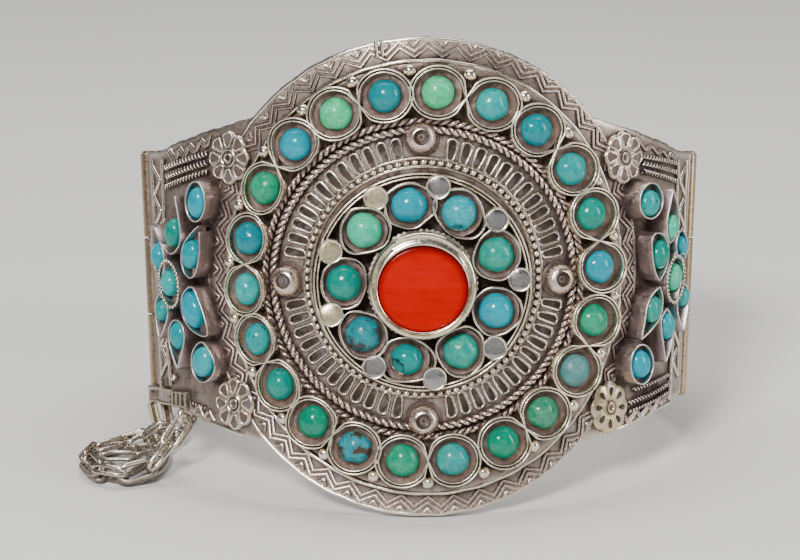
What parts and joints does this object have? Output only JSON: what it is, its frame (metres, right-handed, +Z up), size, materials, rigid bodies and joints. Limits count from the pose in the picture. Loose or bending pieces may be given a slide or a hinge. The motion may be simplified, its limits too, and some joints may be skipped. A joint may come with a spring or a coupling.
{
  "type": "hinged cuff bracelet",
  "caption": "Hinged cuff bracelet: wide round-disc front set with turquoise cabochons round a flat carnelian, plain back band, pin clasp and safety chain.",
  "frame": {"origin": "middle of the footprint of the whole part, on the table", "axes": "+X along the length from the clasp and chain side to the hinge side, -Y towards the viewer that sees the disc, +Z up from the table. The cuff leans back 17 degrees about X"},
  "size_m": [0.081, 0.0597, 0.0578],
  "materials": {
    "silver": "aged silver, cream on its edges and brownish grey in its recesses",
    "worn_silver": "plain worn silver",
    "turquoise": "polished turquoise with dark specks",
    "green_turquoise": "polished green turquoise with brown matrix",
    "carnelian": "polished flat orange-red stone"
  },
  "bodies": {
    "front": {"front_panel": "silver", "carnelian": "carnelian", "turquoise_ring_01": "green_turquoise", "turquoise_ring_02": "turquoise", "turquoise_ring_03": "turquoise", "turquoise_ring_04": "turquoise", "turquoise_ring_05": "turquoise", "turquoise_ring_06": "turquoise", "turquoise_ring_07": "turquoise", "turquoise_ring_08": "turquoise", "turquoise_ring_09": "green_turquoise", "turquoise_ring_10": "green_turquoise", "turquoise_ring_11": "turquoise", "turquoise_ring_12": "green_turquoise", "turquoise_ring_13": "turquoise", "turquoise_ring_14": "green_turquoise", "turquoise_ring_15": "green_turquoise", "turquoise_ring_16": "turquoise", "turquoise_ring_17": "turquoise", "turquoise_ring_18": "turquoise", "turquoise_ring_19": "green_turquoise", "turquoise_ring_20": "turquoise", "turquoise_ring_21": "green_turquoise", "turquoise_ring_22": "turquoise", "turquoise_inner_1": "turquoise", "turquoise_inner_2": "turquoise", "turquoise_inner_3": "turquoise", "turquoise_inner_4": "turquoise", "turquoise_inner_5": "green_turquoise", "turquoise_inner_6": "green_turquoise", "turquoise_inner_7": "turquoise", "turquoise_inner_8": "green_turquoise", "turquoise_inner_9": "green_turquoise", "left_wing_stones": "turquoise", "right_wing_stones": "turquoise", "hinge_pin": "worn_silver", "clasp_pin": "silver", "safety_chain": "silver"},
    "back": {"back_panel": "worn_silver"}
  },
  "joints": [
    {"name": "back_hinge", "type": "hinge", "parent": "front", "child": "back", "pos_m": [0.03872, 0.002, 0.02235], "axis": [-0.041, -0.2859, -0.9574], "range_deg": [0, 105]}
  ]
}
